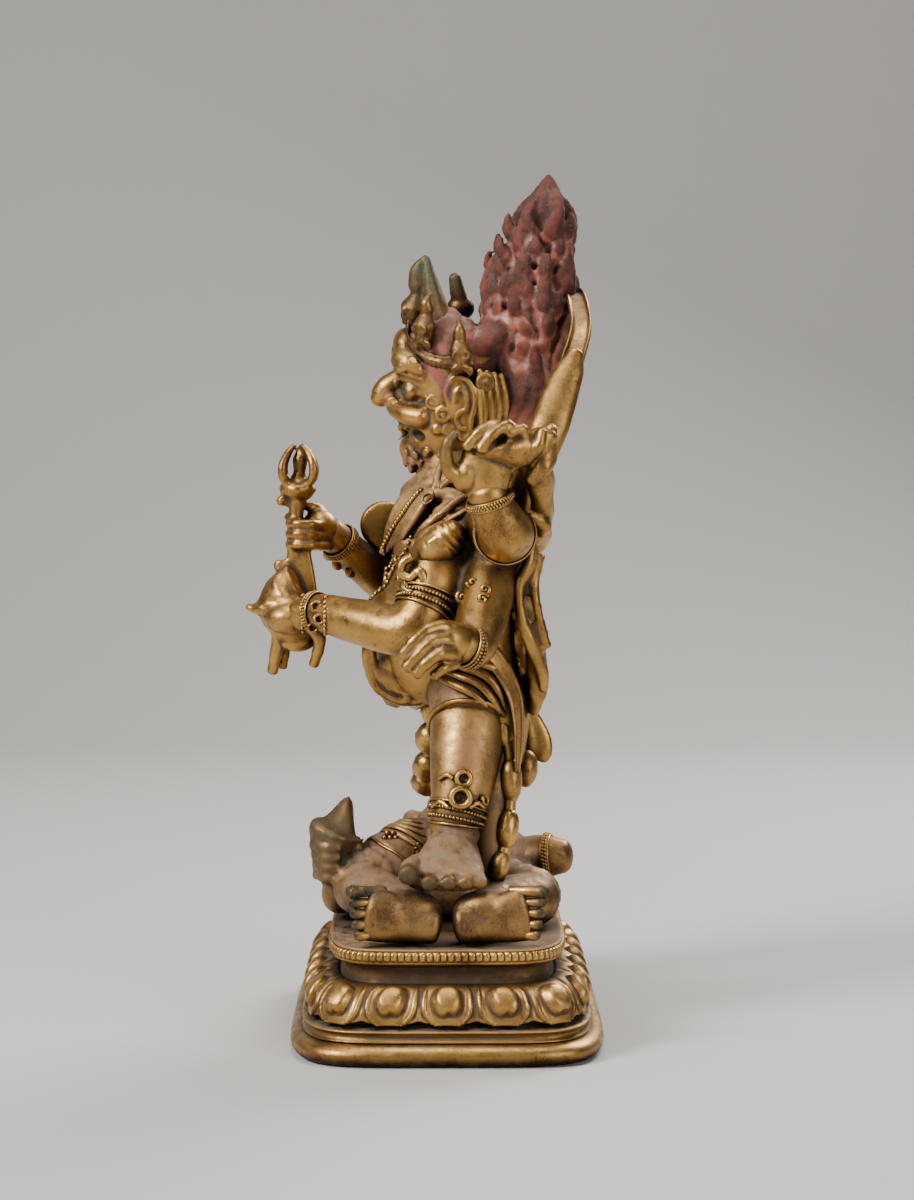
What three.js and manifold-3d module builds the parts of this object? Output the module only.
// A gilt bronze of six-armed Mahakala standing on a lying figure, on an oblong lotus base.
// Millimetres, +Z up. The origin is the middle of the base's underside. The figure faces -Y,
// its left side is towards +X, and the base is long along X.
import * as THREE from "three";
import { mergeVertices } from "three/addons/utils/BufferGeometryUtils.js";
import Module from "manifold-3d";

const wasm = await Module();
wasm.setup();

// Driving sizes of the lotus base
const baseLength = 115;
const baseWidth = 73;
const footRingHeight = 5.1;
const stepHeight = 2.9;
const petalTipLevel = 8.9;
const petalHeight = 8.4;
const neckHeight = 3.8;
const rimHeight = 3.6;
const grooveInset = 2.4; // insets are measured inwards from the outline of the foot ring
const petalInset = 2.9;
const neckInset = 11.4;
const rimInset = 8.8;
const petalCount = 24;
const petalRelief = 2.1;
const petalGap = 0.9;
const planRoundness = 5.4; // exponent of the rounded oblong plan

// Driving sizes of the two figures
const restGap = 0.3; // clearance where one piece rests on the next
const trampledLength = 92;
const trampledHeight = 12.1; // up to the level surfaces that carry the two soles
const figureHeight = 164.4; // from the soles to the tip of the hair
const hideThickness = 2.2;
const scarfThickness = 2.2;
const sashThickness = 2;
const bladeThickness = 2;
const seatMargin = 0.6; // room round each foot in the seat cut for it
const footClearHeight = 8; // height above the soles over which that room is kept

// The two poses below are written at these sizes, and take their real size from the values above
const trampledPoseLength = 92;
const trampledPoseHeight = 12.1;
const poseHeight = 164.4;

// Levels worked out from the sizes
const petalTopLevel = petalTipLevel + petalHeight;
const neckTopLevel = petalTopLevel + neckHeight;
const plateTop = neckTopLevel + rimHeight + restGap * 2;
const trampledLevel = plateTop + restGap;
const soleLevel = trampledLevel + trampledHeight + restGap;
const poseScale = figureHeight / poseHeight;

const AXIS_X = new THREE.Vector3(1, 0, 0);
const AXIS_Y = new THREE.Vector3(0, 1, 0);
const AXIS_Z = new THREE.Vector3(0, 0, 1);
const point = (x, y, z) => new THREE.Vector3(x, y, z);

// A geometry from points and triangles
function surface(points, faces) {
  const geometry = new THREE.BufferGeometry();
  geometry.setFromPoints(points);
  geometry.setIndex(faces);
  return geometry;
}

// A closed geometry as a solid, turned so that its faces point out
function solid(geometry) {
  const bare = geometry.clone();
  bare.deleteAttribute("normal");
  bare.deleteAttribute("uv");
  const merged = mergeVertices(bare, 1e-4);
  const vertProperties = merged.attributes.position.array;
  const triVerts = new Uint32Array(merged.index.array);
  const made = new wasm.Manifold(new wasm.Mesh({ numProp: 3, vertProperties, triVerts }));
  if (made.volume() >= 0) return made;
  for (let i = 0; i < triVerts.length; i += 3) {
    [triVerts[i + 1], triVerts[i + 2]] = [triVerts[i + 2], triVerts[i + 1]];
  }
  return new wasm.Manifold(new wasm.Mesh({ numProp: 3, vertProperties, triVerts }));
}

const joined = (geometries) => geometries.map(solid).reduce((whole, next) => whole.add(next));

// A solid as a named mesh
function meshOf(name, made, material) {
  const { vertProperties, numProp, triVerts } = made.getMesh();
  const geometry = new THREE.BufferGeometry();
  const positions = new THREE.InterleavedBuffer(new Float32Array(vertProperties), numProp);
  geometry.setAttribute("position", new THREE.InterleavedBufferAttribute(positions, 3, 0));
  geometry.setIndex(new THREE.BufferAttribute(new Uint32Array(triVerts), 1));
  const flat = geometry.toNonIndexed();
  flat.computeVertexNormals();
  const mesh = new THREE.Mesh(flat, material);
  mesh.name = name;
  return mesh;
}

// A skin over rings with the same number of points, closed at each end by a fan to its middle,
// which is pushed out along the end by that end's dome
function skin(rings, startDome = 0, endDome = 0) {
  const count = rings[0].length;
  const points = rings.flat();
  const faces = [];
  for (let r = 0; r + 1 < rings.length; r++) {
    for (let i = 0; i < count; i++) {
      const a = r * count + i;
      const b = r * count + ((i + 1) % count);
      faces.push(a, b, b + count, a, b + count, a + count);
    }
  }
  const middle = (ring) => ring.reduce((sum, p) => sum.add(p), point(0, 0, 0)).divideScalar(count);
  const first = middle(rings[0]);
  const last = middle(rings.at(-1));
  const outFirst = first.clone().sub(middle(rings[1])).normalize();
  const outLast = last.clone().sub(middle(rings.at(-2))).normalize();
  points.push(first.addScaledVector(outFirst, startDome), last.addScaledVector(outLast, endDome));
  const low = points.length - 2;
  const high = points.length - 1;
  const top = (rings.length - 1) * count;
  for (let i = 0; i < count; i++) {
    const j = (i + 1) % count;
    faces.push(low, j, i, high, top + i, top + j);
  }
  return surface(points, faces);
}

// A rounded limb along stations [x, y, z, radius, second radius], joined by a smooth curve. The
// first radius lies along the side direction, the second across it. Each band [place, height,
// half width] swells the limb at a place counted in stations.
function limb(stations, { sides = 6, side = AXIS_X, dome = 0.55, bands = [], steps = 0 } = {}) {
  const spine = stations.map(([x, y, z]) => point(x, y, z));
  const curve = new THREE.CatmullRomCurve3(spine, false, "centripetal");
  const spans = stations.length - 1;
  const count = steps || spans;
  // The corners stand as far outside the round limb as the flat sides lie inside it
  const fill = 1 / Math.sqrt(Math.cos(Math.PI / sides));
  const spots = Array.from({ length: count + 1 }, (_, i) => [(i / count) * spans, 0]);
  for (const [place, height, half] of bands) {
    spots.push([place - half, 0], [place, height], [place + half, 0]);
  }
  spots.sort((a, b) => a[0] - b[0]);
  const rings = spots.map(([place, height]) => {
    const low = Math.min(Math.floor(place), spans - 1);
    const size = (slot) => {
      const from = stations[low][slot] ?? stations[low][3];
      const to = stations[low + 1][slot] ?? stations[low + 1][3];
      return (THREE.MathUtils.lerp(from, to, place - low) + height) * fill;
    };
    const centre = curve.getPoint(place / spans);
    const along = curve.getTangent(place / spans);
    const across = side.clone().addScaledVector(along, -side.dot(along)).normalize();
    const third = along.clone().cross(across);
    return Array.from({ length: sides }, (_, i) => {
      const turn = ((i + 0.5) / sides) * 2 * Math.PI;
      const spot = centre.clone().addScaledVector(across, Math.cos(turn) * size(3));
      return spot.addScaledVector(third, Math.sin(turn) * size(4));
    });
  });
  return skin(rings, dome * stations[0][3], dome * stations.at(-1)[3]);
}

// An ellipsoid with a centre, three radii and turns in degrees about X, Y and Z
function ball(centre, radii, { around = 8, rows = 5, turn = [0, 0, 0] } = {}) {
  const geometry = new THREE.SphereGeometry(1, around, rows);
  geometry.rotateX(Math.PI / 2);
  geometry.scale(...radii);
  geometry.rotateX(THREE.MathUtils.degToRad(turn[0]));
  geometry.rotateY(THREE.MathUtils.degToRad(turn[1]));
  geometry.rotateZ(THREE.MathUtils.degToRad(turn[2]));
  geometry.translate(...centre);
  return geometry;
}

// A flat strip along stations [x, y, z, width] whose width lies along the across direction
function strip(stations, across, thickness, steps) {
  const curve = new THREE.CatmullRomCurve3(stations.map(([x, y, z]) => point(x, y, z)));
  const rings = [];
  for (let s = 0; s <= steps; s++) {
    const t = s / steps;
    const at = t * (stations.length - 1);
    const low = Math.min(Math.floor(at), stations.length - 2);
    const half = THREE.MathUtils.lerp(stations[low][3], stations[low + 1][3], at - low) / 2;
    const centre = curve.getPoint(t);
    const along = curve.getTangent(t);
    const wide = across.clone().addScaledVector(along, -across.dot(along)).normalize();
    const thin = along.clone().cross(wide);
    const corner = (w, d) => {
      const edge = centre.clone().addScaledVector(wide, w * half);
      return edge.addScaledVector(thin, (d * thickness) / 2);
    };
    rings.push([corner(-1, -1), corner(1, -1), corner(1, 1), corner(-1, 1)]);
  }
  return skin(rings);
}

const mirrored = (stations) => stations.map(([x, ...rest]) => [-x, ...rest]);

// The plan of the base: a rounded oblong, inset from the outline of the foot ring
function planPoint(turn, inset) {
  const power = 2 / planRoundness;
  const share = (value) => Math.sign(value) * Math.abs(value) ** power;
  const x = (baseLength / 2 - inset) * share(Math.cos(turn));
  const y = (baseWidth / 2 - inset) * share(Math.sin(turn));
  return [x, y];
}

// Turns of the points that lie at given shares of the plan's outline length, from the middle of
// the +X end
function turnsAt(shares, inset) {
  const fine = 1440;
  const lengths = [0];
  let [lastX, lastY] = planPoint(0, inset);
  for (let i = 1; i <= fine; i++) {
    const [x, y] = planPoint((i / fine) * 2 * Math.PI, inset);
    lengths.push(lengths.at(-1) + Math.hypot(x - lastX, y - lastY));
    [lastX, lastY] = [x, y];
  }
  return shares.map((share) => {
    const wanted = (((share % 1) + 1) % 1) * lengths.at(-1);
    const after = lengths.findIndex((length) => length > wanted);
    const part = (wanted - lengths[after - 1]) / (lengths[after] - lengths[after - 1]);
    return ((after - 1 + part) / fine) * 2 * Math.PI;
  });
}

// The turned body of the base: rows of inset and level from the underside up
function baseBody() {
  const stepTop = footRingHeight + stepHeight;
  const rimMiddle = plateTop - rimHeight / 2;
  const rows = [
    [1.2, 0],
    [0, footRingHeight * 0.42],
    [0.7, footRingHeight * 0.86],
    [grooveInset, footRingHeight],
    [grooveInset, stepTop],
    [petalInset + 5, stepTop + restGap],
    [neckInset, petalTopLevel - 1],
    [neckInset, neckTopLevel],
    [rimInset, rimMiddle],
    [rimInset + 1, plateTop],
  ];
  const columns = 32;
  const shift = 0.37; // keeps the columns off the middles of the petals
  const turns = turnsAt(Array.from({ length: columns }, (_, i) => (i + shift) / columns), 0);
  return skin(rows.map(([inset, level]) => turns.map((turn) => point(...planPoint(turn, inset), level))));
}

// The ring of downward petals. Across each petal the relief swells to a boss; along it the surface
// rounds over from the neck to the tip, and the edge is scalloped.
function petalRing() {
  const across = [0, 0.24, 0.5, 0.76];
  const swell = [0, 0.72, 1, 0.72];
  const drop = [0, 0.45, 0.8, 1];
  const boss = [0.1, 0.8, 1, 0.35];
  const slots = Array.from({ length: petalCount * across.length }, (_, slot) => slot);
  const shareOf = (slot) => {
    const petal = Math.floor(slot / across.length);
    return (petal - 0.5 + across[slot % across.length]) / petalCount;
  };
  const turns = turnsAt(slots.map(shareOf), petalInset);
  const rows = drop.map((share, row) => slots.map((slot) => {
    const high = swell[slot % across.length];
    const roundOver = Math.sin((share * Math.PI) / 2);
    const relief = high * boss[row] * petalRelief - (1 - high) * petalGap;
    const plain = THREE.MathUtils.lerp(neckInset - 0.4, petalInset + petalRelief * 0.35, roundOver);
    const scallop = (1 - high) * 1.6 * share ** 4;
    const level = petalTopLevel - petalHeight * (1 - Math.cos((share * Math.PI) / 2)) + scallop;
    return point(...planPoint(turns[slot], plain - relief * share), level);
  }));
  const under = slots.map((slot) => point(...planPoint(turns[slot], petalInset + 3), petalTipLevel + 0.5));
  return skin([...rows, under]);
}

// The foot of the left leg in pose millimetres, its flat sole at level 0 and its toes towards +X
const footStations = [
  [20.5, 1.5, 4.4, 4.2, 5],
  [30, 1, 6.4, 6.6, 6.8],
  [38, 0.2, 4.2, 8.6, 4.8],
  [45, -0.6, 2.4, 9, 2.8],
];
// Toes of the near foot: place across the foot, radius, level and reach
const toes = [
  [-8.4, 2.5, 4.2, 48.4],
  [-3.9, 2, 2.3, 48.2],
  [0.2, 1.9, 2.2, 47.8],
  [4, 1.8, 2.1, 47.2],
  [7.3, 1.6, 1.9, 46.2],
];
// A row of toes as one comb: a section at each toe and a drawn-in section between each pair.
// place(across, level, reach) puts a point of the comb where it belongs.
function toeRow(row, root, draw, place) {
  const rings = [];
  const section = (across, radius, level, reach) => {
    rings.push([
      place(across, level - radius * 0.8, reach - radius * 0.4), place(across, level, reach),
      place(across, level + radius * 0.9, reach - radius * 0.7), place(across, level, root),
    ]);
  };
  row.forEach(([across, radius, level, reach], i) => {
    section(across, radius, level, reach);
    if (i + 1 === row.length) return;
    const [nextAcross, nextRadius, nextLevel, nextReach] = row[i + 1];
    const gap = Math.min(radius, nextRadius) * 0.55;
    section((across + nextAcross) / 2, gap, (level + nextLevel) / 2, Math.min(reach, nextReach) - draw);
  });
  return skin(rings, row[0][1], row.at(-1)[1]);
}

function foot() {
  return [
    limb(footStations, { sides: 7, side: AXIS_Y, dome: 0.3 }),
    toeRow(toes, 41, 1.8, (across, level, reach) => point(reach, across, level)),
  ];
}

// The lying figure in its own pose millimetres, level 0 on the plate, its head towards -X
function trampledParts() {
  const parts = [];
  // The trunk from hips to shoulders and the raised cloth over the thigh on the -Y side
  const body = [[8, 1, 8, 12, 9], [-4, 1, 8.5, 15.5, 11.5], [-18, 0, 8, 15.5, 11], [-31, 0, 6, 9, 7]];
  parts.push(limb(body, { sides: 7, side: AXIS_Y }));
  const raisedThigh = [
    [-8, -4, 12, 8, 10], [4, -8, 14, 9, 9.6], [14, -19, 8.6, 8, 6.8], [27, -13, 7, 6, 5.6],
    [42, -4, 5.5, 4, 4.8],
  ];
  const thigh = [
    [-8, 5, 8, 9, 8], [4, 10, 8, 8.5, 7.4], [14, 19, 6.8, 7.4, 6.2], [27, 13, 7, 6, 5.6],
    [42, 4, 5.5, 4, 4.8],
  ];
  parts.push(limb(raisedThigh, { side: AXIS_Y }), limb(thigh, { side: AXIS_Y }));
  for (const out of [-1, 1]) {
    // A foot on its side with the sole towards +X
    const sole = [
      [44.2, out * 2.8, 4.6, 2.6, 4.2], [44.6, out * 10, 5.8, 3, 5.6],
      [44.4, out * 18.4, 7.2, 2.2, 6.2],
    ];
    parts.push(limb(sole, { sides: 7, side: AXIS_X, dome: 0.4 }));
    const row = [0, 1, 2, 3, 4].map((toe) => [12.4 - toe * 2.6, toe ? 1.5 : 1.8, 44.8, 23 - toe * 0.35]);
    parts.push(toeRow(row, 16, 1.3, (across, level, reach) => point(level, out * reach, across)));
  }
  // The arm on the -Y side, its hand round a skull cup with a pointed offering
  const arm = [[-26, -10, 7, 4.8], [-8, -22, 5, 4.2], [8, -26, 6, 3.8], [12.5, -26, 12, 3.8]];
  parts.push(limb(arm, { sides: 5, side: AXIS_Z }));
  const cup = [
    [12, -26, 11, 3.4], [12, -26, 19, 5.8], [12, -26, 22, 6.4], [11.6, -25.4, 24.4, 3.6],
    [10, -24, 29.5, 0.9],
  ];
  parts.push(limb(cup, { sides: 7, side: AXIS_X, dome: 0.3 }));
  // The arm on the +Y side: a short sleeve, a banded forearm and its rounded end
  const forearm = [
    [-14, 10, 9, 7], [-4, 16.2, 12, 7.2], [-3.6, 16.8, 12.2, 5.4], [-0.6, 24, 13.8, 5.2],
    [0.5, 28.5, 14, 3.6],
  ];
  parts.push(limb(forearm, { side: AXIS_Z, bands: [[3.4, 0.9, 0.2]] }));
  // The elephant head on its side, with ears and a trunk curled along the plate
  parts.push(ball([-37, 0, 7.5], [8, 8.5, 8], { around: 7, rows: 4 }));
  parts.push(ball([-32, 9.5, 6], [6, 4.5, 6.5], { around: 5, rows: 3 }));
  parts.push(ball([-32, -9.5, 6], [6, 4.5, 6.5], { around: 5, rows: 3 }));
  const trunk = [[-38, -2, 10, 4.6], [-43, -9, 7, 3.6], [-40, -16, 3.6, 2.8], [-33, -18, 3.2, 2.2]];
  parts.push(limb(trunk, { sides: 5, side: AXIS_Z }));
  return parts;
}

function box(low, high) {
  const size = high.clone().sub(low);
  const geometry = new THREE.BoxGeometry(size.x, size.y, size.z);
  geometry.translate((low.x + high.x) / 2, (low.y + high.y) / 2, (low.z + high.z) / 2);
  return geometry;
}

// A block that spans the given shares of the base's length and width between two levels
function block([fromX, toX], [fromY, toY], low, high) {
  return solid(box(
    point(fromX * baseLength, fromY * baseWidth, low),
    point(toX * baseLength, toY * baseWidth, high),
  ));
}

// The lying figure, with a level seat cut wherever the standing figure comes down on it
function trampledFigure(standing) {
  const lengthScale = trampledLength / trampledPoseLength;
  const heightScale = trampledHeight / trampledPoseHeight;
  const placed = trampledParts().map((geometry) => {
    geometry.scale(lengthScale, lengthScale, heightScale);
    geometry.translate(0, 0, trampledLevel);
    return geometry;
  });
  let made = joined(placed);
  // The underside is trimmed level with the plate
  made = made.subtract(block([-1, 1], [-1, 1], 0, trampledLevel));
  for (const side of [[-1, 0], [0, 1]]) {
    const low = standing.intersect(block(side, [-1, 1], soleLevel, soleLevel + footClearHeight));
    const { min, max } = low.boundingBox();
    const near = point(min[0] - seatMargin, min[1] - seatMargin, soleLevel - restGap);
    const far = point(max[0] + seatMargin, max[1] + seatMargin, soleLevel + figureHeight);
    if (side[1] > 0) far.x = baseLength;
    else near.x = -baseLength;
    made = made.subtract(solid(box(near, far)));
  }
  return made;
}

// From here on the standing figure, in pose millimetres with its soles at level 0

function legsAndBody() {
  const parts = [];
  const torso = [
    [0, 7, 37, 10, 8], [0, 5, 44, 17, 13.5], [0, -1.8, 53, 18.4, 17.4], [0, 0, 63, 18, 15.8],
    [0, 2.4, 75, 19, 14.6], [0, 2.4, 84, 16.4, 13], [0, 0.8, 90.5, 9, 8.6], [0, 0.5, 99, 8, 7.6],
  ];
  parts.push(limb(torso, { sides: 8, side: AXIS_X }));
  // Each leg with the tiger skin over its thigh, the hem above the knee and the ankle band
  const left = [
    [3, 8, 50, 13.2], [10, 6.8, 44.4, 12.2], [17.2, 5.6, 38.2, 11], [17.8, 5.5, 37.2, 9.2],
    [22.5, 4.4, 28, 8.4], [26.2, 3, 18.5, 6.6], [27.6, 1.7, 12.6, 5.6], [27.6, 1.6, 6, 5.4],
  ];
  const right = [
    [-3, 8, 50, 13.2], [-14, 6.4, 48.4, 12.4], [-27, 4.4, 45.4, 11.2], [-27.9, 4.3, 44.9, 9.8],
    [-34, 3, 37, 8.8], [-33, 2.2, 22, 7], [-29.2, 1.7, 13, 5.6], [-28.4, 1.6, 6, 5.4],
  ];
  for (const leg of [left, right]) {
    parts.push(limb(leg, { sides: 7, side: AXIS_Y, bands: [[5.7, 1, 0.22]] }));
  }
  for (const geometry of foot()) {
    const other = geometry.clone();
    other.scale(-1, 1, 1);
    parts.push(geometry, other);
  }
  return parts;
}

// The waist cord in a loop under the belly, sash ends down the back of each leg, and a tail flap
function sashes() {
  const parts = [];
  const thickness = sashThickness / poseScale;
  const loop = [[17.5, -6, 52, 1.8], [13, -14.4, 46, 1.8], [6, -14.6, 40.6, 1.9]];
  parts.push(limb([...loop, ...mirrored(loop).reverse()], { sides: 5, side: AXIS_Y }));
  for (const out of [1, -1]) {
    const fold = [
      [out * 15.4, 2, 48.5, 6], [out * 21.4, 9.6, 45, 6], [out * 23.6, 15, 34, 5],
      [out * 25, 14, 14, 3.4],
    ];
    parts.push(strip(fold, AXIS_Y, thickness * 1.5, 4));
  }
  const flap = [[0, 18, 52, 16], [0, 22.5, 40, 13], [1, 24, 30, 9], [2, 24.2, 26.5, 4]];
  parts.push(strip(flap, AXIS_X, thickness, 3));
  return parts;
}

// Elephant hide behind the back: a bowed sheet whose two side edges roll forward
function hide() {
  const columns = 5;
  const rowLevels = [84, 74, 60, 48, 42];
  const halfWidths = [27, 21, 20.6, 23, 21];
  const depths = [19, 20.5, 21.4, 23, 22.6];
  const front = [];
  const back = [];
  const half = hideThickness / poseScale / 2;
  rowLevels.forEach((level, row) => {
    for (let c = 0; c <= columns; c++) {
      const share = (c / columns) * 2 - 1;
      const roll = share ** 4 * 5;
      const x = share * halfWidths[row];
      const y = depths[row] - roll;
      front.push(point(x, y - half, level));
      back.push(point(x, y + half, level));
    }
  });
  const width = columns + 1;
  const total = front.length;
  const faces = [];
  for (let r = 0; r + 1 < rowLevels.length; r++) {
    for (let c = 0; c < columns; c++) {
      const a = r * width + c;
      const b = a + width;
      faces.push(a, b, b + 1, a, b + 1, a + 1);
      faces.push(total + a, total + b + 1, total + b, total + a, total + a + 1, total + b + 1);
    }
  }
  const border = [];
  for (let c = 0; c < columns; c++) border.push(c);
  for (let r = 0; r + 1 < rowLevels.length; r++) border.push(r * width + columns);
  for (let c = columns; c > 0; c--) border.push((rowLevels.length - 1) * width + c);
  for (let r = rowLevels.length - 1; r > 0; r--) border.push(r * width);
  border.forEach((a, i) => {
    const b = border[(i + 1) % border.length];
    faces.push(a, b, total + b, a, total + b, total + a);
  });
  const parts = [surface([...front, ...back], faces)];
  for (const out of [1, -1]) {
    // A leg of the hide, drawn up to the raised hand and ending in a foot
    const leg = [
      [out * 24, 19.5, 80, 4.2], [out * 35, 21, 89, 3.8], [out * 43.5, 20, 99, 4.4],
      [out * 44.8, 22.4, 104.6, 4.2],
    ];
    parts.push(limb(leg, { sides: 5, side: AXIS_Y }));
  }
  return parts;
}

// Arms as stations from the shoulder to the wrist
const frontArm = [
  [12, 4, 82, 7], [20.5, -1, 75, 7.4], [28, -8, 58.8, 6.3], [21, -20.6, 59.6, 5.4],
  [12.5, -30, 61.2, 4.4], [10, -33.5, 61, 4.2],
];
const raisedArm = [
  [12, 9, 82, 7.4], [26, 11.6, 82.4, 7.2], [39, 13.4, 82, 6.3], [43.6, 11.4, 86.6, 5.1],
  [45.2, 9, 92, 4.3],
];
const loweredArm = [
  [13, 12, 80, 7], [22, 11.4, 74.4, 6.9], [35, 7.4, 59.6, 5.8], [40.6, 5.6, 52.4, 4.8],
  [44, 0.4, 50.6, 4],
];
const knifeArm = [
  [-12, 4, 82, 7], [-20.5, -1, 76, 7.4], [-28, -8.4, 63, 6.2], [-20, -16, 67.6, 5.3],
  [-10, -25.4, 76.4, 4.2], [-7.5, -28.4, 79.4, 4],
];
const drumArm = [
  [-13, 12, 80, 7], [-23, 11.2, 73.4, 6.8], [-34.5, 1.6, 61.8, 5.8], [-30, -7.4, 66.4, 5],
  [-24, -13, 73.6, 4.2],
];

// Arms with a band above the elbow and one at the wrist
function arms() {
  const armlet = [1.62, 1, 0.1];
  const side = point(0.4, 0.5, 0.77).normalize();
  return [
    limb(frontArm, { side, dome: 0.3, bands: [armlet, [3.9, 1.1, 0.3]] }),
    limb(raisedArm, { sides: 5, side, dome: 0.3, bands: [[3.6, 1.1, 0.25]] }),
    limb(mirrored(raisedArm), { sides: 5, side, dome: 0.3, bands: [[3.6, 1.1, 0.25]] }),
    limb(loweredArm, { side, dome: 0.3, bands: [armlet, [3.4, 1, 0.25]] }),
    limb(knifeArm, { sides: 5, side, dome: 0.3, bands: [[3.9, 1.1, 0.3]] }),
    limb(drumArm, { sides: 5, side, dome: 0.3, bands: [[3.6, 1, 0.25]] }),
  ];
}

// A hand: a flattened palm and fingers given as lists of stations
function hand(palm, radii, turn, fingers, thick = 1.6) {
  const parts = [ball(palm, radii, { around: 5, rows: 4, turn })];
  for (const finger of fingers) {
    const stations = finger.map(([x, y, z], i) => [x, y, z, thick * (1 - 0.16 * i)]);
    parts.push(limb(stations, { sides: 3, side: point(0.6, 0.2, 0.77).normalize() }));
  }
  return parts;
}

function hands() {
  const parts = [];
  // Front left hand under the skull cup
  parts.push(...hand([7.5, -36.6, 58.6], [5, 6, 4], [0, 0, 20], [
    [[6, -40.4, 58], [4.4, -41.8, 46.5]],
    [[9, -34, 58], [7, -30.8, 49.6]],
  ]));
  // Raised hands that hold up the feet of the hide
  for (const out of [1, -1]) {
    parts.push(...hand([out * 45.6, 5.8, 96], [3.6, 5.6, 6], [10, 0, 0], [
      [[out * 46, 2, 93], [out * 46.8, -2.2, 98], [out * 47.2, -1.6, 103.6]],
      [[out * 45, 10, 99], [out * 47.4, 8.4, 105.2], [out * 48.4, 2.4, 99]],
    ]));
  }
  // Lowered left hand, its fingers bent round a lost attribute
  parts.push(...hand([45, -2.4, 51], [4, 5, 3.8], [20, 0, 0], [
    [[46, -3, 54], [47, -8, 56.4], [47.4, -12, 55.4]],
    [[46.6, -4, 52.2], [48.6, -8.4, 52.4], [48.6, -12, 49.4]],
    [[46.4, -3, 49.4], [48.4, -6.4, 48.6], [48.2, -9.4, 45.6]],
  ]));
  // Knife hand: a fist round the handle with the first finger held straight
  parts.push(...hand([-2.6, -33.4, 82], [4.4, 5, 5], [0, 0, 30], [[[-4.6, -31, 86], [-1.4, -40.8, 86.6]]]));
  // Drum hand round the waist of the drum
  parts.push(...hand([-20.6, -15, 77.4], [3.6, 5, 4.4], [0, 30, 0], [[[-20, -19, 77], [-19, -18, 83.6]]]));
  return parts;
}

// What the hands hold
function attributes() {
  const parts = [];
  // Skull cup with its domed offering and pouring lip
  const cup = [
    [3, -38.6, 56, 2.4], [2.8, -39.2, 61.4, 6.6], [2.4, -39.4, 63.4, 6.4], [2.1, -38.8, 67, 4.4],
    [2, -38.4, 71.2, 1.4],
  ];
  parts.push(limb(cup, { sides: 7, side: AXIS_X, dome: 0.3 }));
  parts.push(limb([[3, -43, 61.8, 3, 1.2], [3, -48, 62, 0.9, 0.7]], { sides: 4, side: AXIS_X, steps: 1 }));
  // Flaying knife: a turned handle with curved prongs above, a hooked blade below
  const handle = [
    [0, -35, 74, 1.8], [0, -35, 88.6, 2.2], [0, -35, 90.6, 4.8], [0, -35, 92.4, 2],
    [0, -35, 100, 0.9],
  ];
  parts.push(limb(handle, { sides: 5, side: AXIS_X }));
  for (let prong = 0; prong < 4; prong++) {
    const turn = ((prong + 1) / 4) * 2 * Math.PI;
    const at = (out, z, r) => [Math.cos(turn) * out, -35 + Math.sin(turn) * out, z, r];
    const curved = [at(2.8, 90.6, 1.2), at(5, 94.4, 1.1), at(1, 100, 0.8)];
    parts.push(limb(curved, { sides: 3, side: point(0.3, 0.2, 0.93) }));
  }
  const blade = new THREE.Shape();
  blade.moveTo(-36.6, 77.5);
  blade.bezierCurveTo(-36, 73, -36.6, 71.6, -40.6, 72.4);
  blade.bezierCurveTo(-41.4, 69.6, -38.6, 67.8, -35.6, 68.2);
  blade.bezierCurveTo(-34.4, 66, -33, 63.4, -30.6, 61.8);
  blade.bezierCurveTo(-30.6, 67, -31.6, 73, -32.6, 77.5);
  const bladeDepth = bladeThickness / poseScale;
  const bladeOptions = { depth: bladeDepth, bevelEnabled: false, curveSegments: 2 };
  const bladeGeometry = new THREE.ExtrudeGeometry(blade, bladeOptions);
  bladeGeometry.rotateX(Math.PI / 2);
  bladeGeometry.rotateZ(Math.PI / 2);
  bladeGeometry.translate(-bladeDepth / 2, 0, 0);
  parts.push(bladeGeometry);
  // Hand drum: two bowls joined at a waist
  const drum = [
    [-13.4, -15.4, 81, 5.4], [-14.8, -15.3, 80.9, 5.8], [-19.2, -14.9, 80.4, 2.8],
    [-23.8, -14.4, 80, 5.8], [-25.2, -14.3, 79.9, 5.4],
  ];
  parts.push(limb(drum, { sides: 6, side: AXIS_Z, dome: 0.1 }));
  return parts;
}

// The head is modelled upright about its own middle, then rolled towards the near side
const headMiddle = point(0, -1, 112);
const headRoll = 13;

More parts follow.
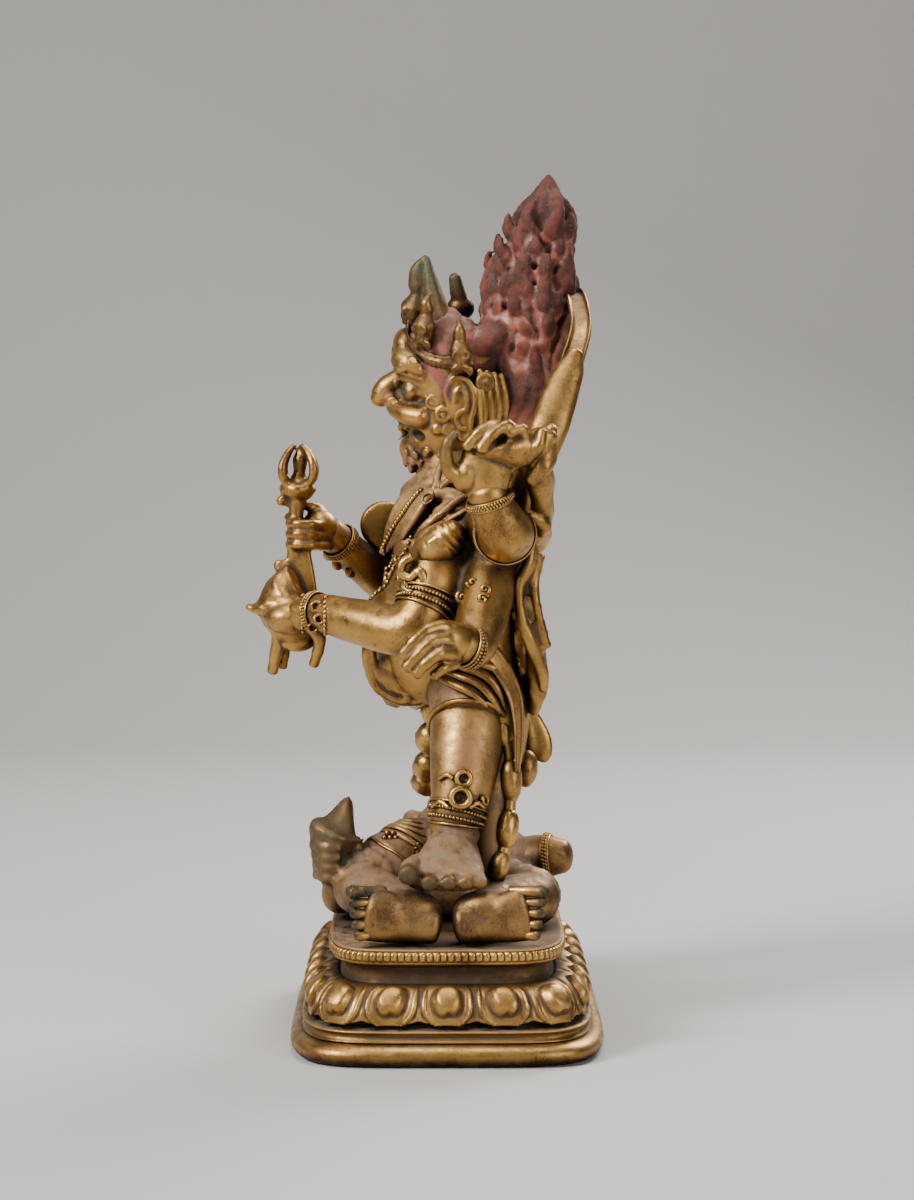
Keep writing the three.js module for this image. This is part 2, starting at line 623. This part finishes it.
function head() {
  const parts = [];
  // Skull with the neck below and the step of the diadem above the brow
  const skull = [
    [0, 0.5, 95.5, 5.4, 5], [0, -0.6, 100, 9.8, 9.6], [0, -0.4, 107, 12.2, 11.4], [0, 0.4, 117, 12.6, 12],
    [0, 1.2, 122, 11.8, 11.2], [0, 1.3, 123, 12.8, 12], [0, 2, 127.4, 10.4, 9.6],
  ];
  parts.push(limb(skull, { sides: 8, side: AXIS_X, dome: 0.2 }));
  for (const out of [1, -1]) {
    // Brow and ear
    const brow = [[out * 1, -12.2, 119.6, 2.2], [out * 6, -11.4, 121, 2.6], [out * 10, -7, 119.6, 1.6]];
    parts.push(limb(brow, { sides: 4, side: AXIS_Z }));
    const ear = [
      [out * 12.4, 2.4, 118.8, 2.6, 1.5], [out * 13, 3.2, 113, 3.2, 1.7], [out * 11.6, 2.8, 103.4, 2, 1.4],
    ];
    parts.push(limb(ear, { sides: 4, side: AXIS_Y }));
  }
  const nose = [[0, -11.4, 118.6, 2, 2], [0, -14, 112.4, 3.2, 2.8], [0, -11.6, 109, 2.6, 2.2]];
  const jaw = [[0, -10.2, 106.4, 7, 2.6], [0, -9.2, 102.4, 5.4, 2.2], [0, -5.8, 96.4, 4.4, 2.6]];
  parts.push(limb(nose, { sides: 5, side: AXIS_X }), limb(jaw, { sides: 5, side: AXIS_X }));
  // Five skulls of the diadem, each rising to a pointed bud, with a tall leaf behind the front one
  const frontTurn = -90;
  const places = [
    [frontTurn, 2, 133], [-40, 0.4, 136.6], [-140, 0.4, 136.6], [8, -1.6, 133.4], [-188, -1.6, 133.4],
  ];
  for (const [turn, lift, tip] of places) {
    const angle = THREE.MathUtils.degToRad(turn);
    const out = (share, level, wide, deep) => {
      const reach = [Math.cos(angle) * share * 12.6, 1.6 + Math.sin(angle) * share * 10.6];
      return [...reach, level + lift, wide, deep];
    };
    const side = point(-Math.sin(angle), Math.cos(angle), 0);
    const skullAndBud = [out(0.96, 123.6, 2.4, 2.2), out(0.98, 128.6, 3.6, 3.3), out(0.9, tip, 1.3, 1.3)];
    parts.push(limb(skullAndBud, { sides: 4, side }));
    if (turn !== frontTurn) continue;
    const leaf = [out(0.6, 125, 3.8, 3), out(0.66, 136, 3.2, 2.4), out(0.6, 145, 0.9, 0.8)];
    parts.push(limb(leaf, { sides: 4, side }));
  }
  return parts.map((geometry) => {
    geometry.translate(-headMiddle.x, -headMiddle.y, -headMiddle.z);
    geometry.rotateY(THREE.MathUtils.degToRad(headRoll));
    geometry.translate(headMiddle.x, headMiddle.y, headMiddle.z);
    return geometry;
  });
}

// Flame hair: a leaning mass with rows of short upturned locks
const hairRows = [
  [104, 22.5, 4], [111, 20.5, 7], [118, 19.6, 9.6], [125, 18.4, 12], [132, 18.6, 12.2],
  [139, 19.4, 11.6], [146, 20.8, 9.6], [153, 22.6, 6.6], [159, 23.8, 3.2], [164.4, 24.1, 0.9],
];
const hairLean = 0.06; // sideways lean towards the near side, with the head

function hairAt(level) {
  let row = 0;
  while (row + 2 < hairRows.length && hairRows[row + 1][0] < level) row++;
  const [lowLevel, lowMiddle, lowRadius] = hairRows[row];
  const [highLevel, highMiddle, highRadius] = hairRows[row + 1];
  const share = (level - lowLevel) / (highLevel - lowLevel);
  return {
    middle: point((level - 112) * hairLean, THREE.MathUtils.lerp(lowMiddle, highMiddle, share), level),
    radius: THREE.MathUtils.lerp(lowRadius, highRadius, share),
  };
}

function hair() {
  // Every second point of every second row stands out and rises as the tip of a lock
  const around = 12;
  const rows = 14;
  const lockReach = 1.4;
  const lockRise = 2.2;
  const firstLevel = hairRows[0][0];
  const rings = Array.from({ length: rows }, (_, row) => {
    const level = THREE.MathUtils.lerp(firstLevel, poseHeight, row / rows);
    const { middle, radius } = hairAt(level);
    return Array.from({ length: around }, (_, i) => {
      const isTip = (i + row / 2) % 2 === 0 && row % 2 === 0;
      const swell = row === 0 ? 0 : Math.min(radius / 8, 1);
      const out = radius + (isTip ? lockReach : -lockReach) * swell;
      const turn = (i / around) * 2 * Math.PI;
      const rise = isTip ? lockRise * swell : 0;
      return point(middle.x + Math.cos(turn) * out, middle.y + Math.sin(turn) * out, level + rise);
    });
  });
  return [skin(rings, 1, poseHeight - rings.at(-1)[1].z)];
}

// Scarf: a wide ribbon that rises from the left elbow, arches behind the hair and comes down again
function scarf() {
  const rise = [
    [33, 18, 88, 7], [33, 20, 98, 9], [30.5, 23, 107, 10],
    [22, 28, 119, 10], [11, 31.4, 129.5, 8], [0, 32.6, 134.5, 6.4],
  ];
  const whole = [...rise, ...mirrored(rise.slice(0, -1)).reverse()];
  return [strip(whole, point(0, 1, 0), scarfThickness / poseScale, 10)];
}

// Garlands of small heads: on the chest, down the back of each leg and in a loop between the legs.
// A string of heads is one cord that swells to a head and draws in again between two heads.
function headString(stations, count, radius) {
  const curve = new THREE.CatmullRomCurve3(stations.map(([x, y, z]) => point(x, y, z)));
  const swelling = Array.from({ length: count * 2 + 1 }, (_, i) => {
    const { x, y, z } = curve.getPoint(i / (count * 2));
    return [x, y, z, i % 2 ? radius : radius * 0.45];
  });
  return limb(swelling, { sides: 5, side: AXIS_Y });
}

function garland() {
  const parts = [];
  for (const out of [1, -1]) {
    parts.push(ball([out * 20.5, -6, 79], [4.6, 4.6, 6.6], { around: 5, rows: 3, turn: [-40, 0, 0] }));
    const down = [[18, 16.4, 46], [20.8, 15.8, 33], [23.8, 14.6, 19], [26.4, 12.4, 3]];
    parts.push(headString(down.map(([x, y, z]) => [out * x, y, z]), 4, 4));
  }
  const loop = [
    [8, -2, 41], [5, -3.6, 33], [-1, -4.6, 24], [-8, -5.2, 18.6],
    [-15, -4.8, 22], [-21, -3.8, 31], [-25, -1.2, 39],
  ];
  parts.push(headString(loop, 7, 3.8));
  return parts;
}

function mahakalaFigure() {
  const parts = [
    ...legsAndBody(), ...sashes(), ...hide(), ...arms(), ...hands(), ...attributes(),
    ...head(), ...hair(), ...scarf(), ...garland(),
  ];
  let made = joined(parts);
  // Both soles are trimmed flat
  made = made.subtract(block([-1, 1], [-1, 1], -baseWidth, 0));
  // Pockets closed off between cloth and leg are solid metal
  made = made.decompose().reduce((outer, body) => (body.volume() > outer.volume() ? body : outer));
  const geometry = meshOf("figure", made).geometry;
  geometry.scale(poseScale, poseScale, poseScale);
  geometry.translate(0, 0, soleLevel);
  return solid(geometry);
}

const gilt = new THREE.MeshStandardMaterial({ color: 0xb08a4a, roughness: 0.42, metalness: 0.9 });
const wornGilt = new THREE.MeshStandardMaterial({ color: 0x8a6a45, roughness: 0.55, metalness: 0.8 });

const standing = mahakalaFigure();
const group = new THREE.Group();
group.add(meshOf("lotus_base", joined([baseBody(), petalRing()]), gilt));
group.add(meshOf("trampled_figure", trampledFigure(standing), wornGilt));
group.add(meshOf("mahakala_figure", standing, gilt));

export default group;
